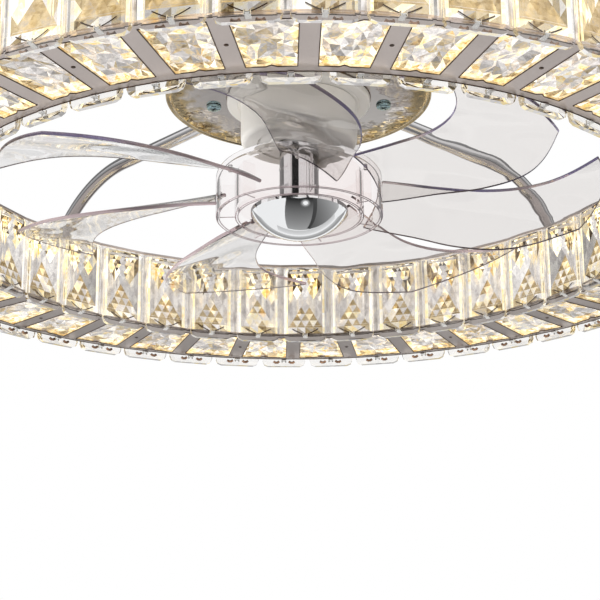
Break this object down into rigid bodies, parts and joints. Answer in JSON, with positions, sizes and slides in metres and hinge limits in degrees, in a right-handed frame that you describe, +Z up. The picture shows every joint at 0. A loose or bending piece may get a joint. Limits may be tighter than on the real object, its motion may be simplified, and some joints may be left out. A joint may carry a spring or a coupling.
{
  "type": "ceiling fan with light",
  "caption": "Low ceiling fan with clear blades on a hub under a mirror canopy, inside a wide lit ring of cut crystals.",
  "frame": {"origin": "centre of the bracket's flat face that lies against the ceiling", "axes": "+Z up out of the ceiling face and along the fan's axis, -Y towards the near side of the picture, +X to its right"},
  "size_m": [0.495, 0.4952, 0.125],
  "materials": {
    "zinc_steel": "zinc-plated steel",
    "mirror_steel": "mirror-polished stainless steel",
    "chrome": "polished chrome",
    "satin_steel": "fine satin stainless steel, slightly warm",
    "white_paint": "white, satin",
    "white_plastic": "white, matt",
    "dark_plastic": "black, matt",
    "wound_copper": "enamelled windings on a laminated stack",
    "clear_acrylic": "clear acrylic with a mauve cast at its edges",
    "crystal": "clear faceted crystal",
    "warm_led": "warm white light strip"
  },
  "bodies": {
    "fixture": {"arm_1": "chrome", "arm_2": "chrome", "arm_3": "chrome", "arm_4": "chrome", "arm_locknut_1": "zinc_steel", "arm_locknut_2": "zinc_steel", "arm_locknut_3": "zinc_steel", "arm_locknut_4": "zinc_steel", "arm_nut_1": "zinc_steel", "arm_nut_2": "zinc_steel", "arm_nut_3": "zinc_steel", "arm_nut_4": "zinc_steel", "bearing_lower": "zinc_steel", "bearing_upper": "zinc_steel", "bracket_screw_1": "zinc_steel", "bracket_screw_2": "zinc_steel", "canopy": "mirror_steel", "canopy_screw_1": "zinc_steel", "canopy_screw_2": "zinc_steel", "ceiling_bracket": "zinc_steel", "fan_controller": "white_plastic", "inner_crystals": "crystal", "led_carrier": "white_plastic", "led_driver": "white_plastic", "led_strip_inner": "warm_led", "led_strip_outer": "warm_led", "motor_base": "white_paint", "motor_bracket": "zinc_steel", "motor_housing": "white_paint", "outer_crystals": "crystal", "ring_bottom_plate": "satin_steel", "ring_inner_wall": "satin_steel", "ring_outer_wall": "satin_steel", "ring_top_plate": "satin_steel", "stator": "wound_copper", "terminal_block": "dark_plastic", "window_crystals": "crystal"},
    "rotor": {"blade_1": "clear_acrylic", "blade_2": "clear_acrylic", "blade_3": "clear_acrylic", "blade_4": "clear_acrylic", "blade_5": "clear_acrylic", "blade_6": "clear_acrylic", "blade_7": "clear_acrylic", "dome_cap": "mirror_steel", "hub_drum": "clear_acrylic", "hub_nut": "zinc_steel", "hub_sleeve": "chrome", "rotor_can": "zinc_steel", "rotor_magnet": "dark_plastic", "shaft": "zinc_steel"}
  },
  "joints": [
    {"name": "fan_spin", "type": "hinge", "parent": "fixture", "child": "rotor", "pos_m": [0, 0, -0.1], "axis": [0, 0, 1], "continuous": true}
  ]
}
